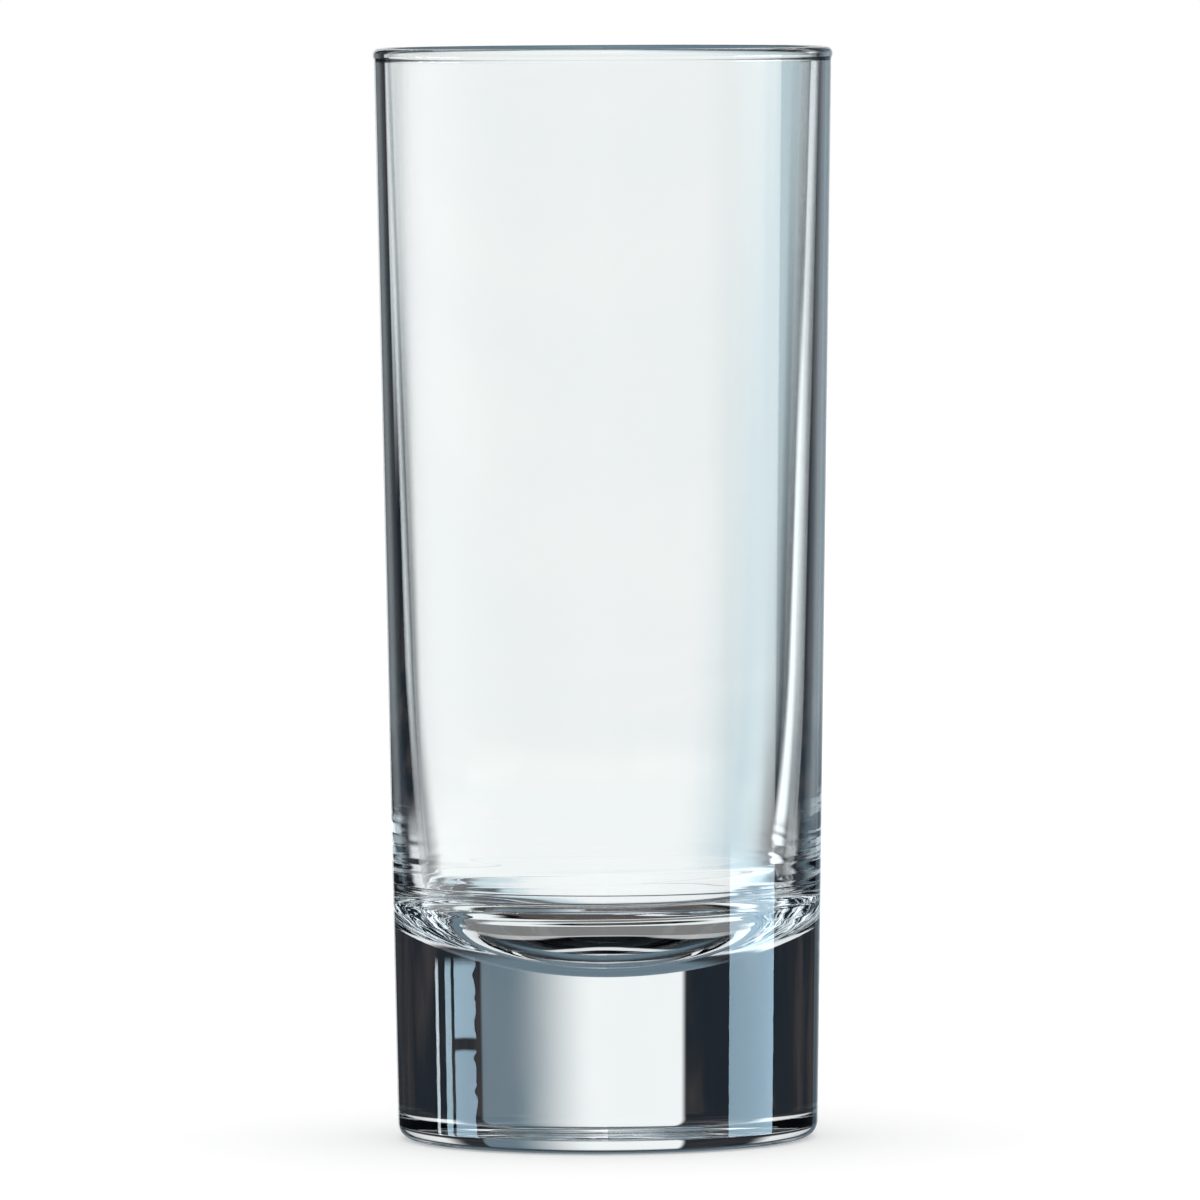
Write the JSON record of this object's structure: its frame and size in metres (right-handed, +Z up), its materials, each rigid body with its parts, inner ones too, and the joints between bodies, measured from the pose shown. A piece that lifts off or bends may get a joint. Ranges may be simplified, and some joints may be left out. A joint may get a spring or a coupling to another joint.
{
  "type": "highball glass",
  "caption": "Tall straight-sided drinking glass, tapering slightly to a heavy solid base, with a fire-rounded rim bead, dished floor and rounded heel.",
  "frame": {"origin": "middle of the standing face, on the glass's axis at the height of the surface it stands on", "axes": "+Z up along the glass's axis towards the rim; X and Y are alike, because the glass is round"},
  "size_m": [0.0653, 0.0652, 0.155],
  "materials": {
    "clear_glass": "clear colourless soda-lime glass, fire-polished, with faint mould and cooling ripples in the thick base"
  },
  "bodies": {
    "root": {"glass_body": "clear_glass"}
  },
  "joints": []
}
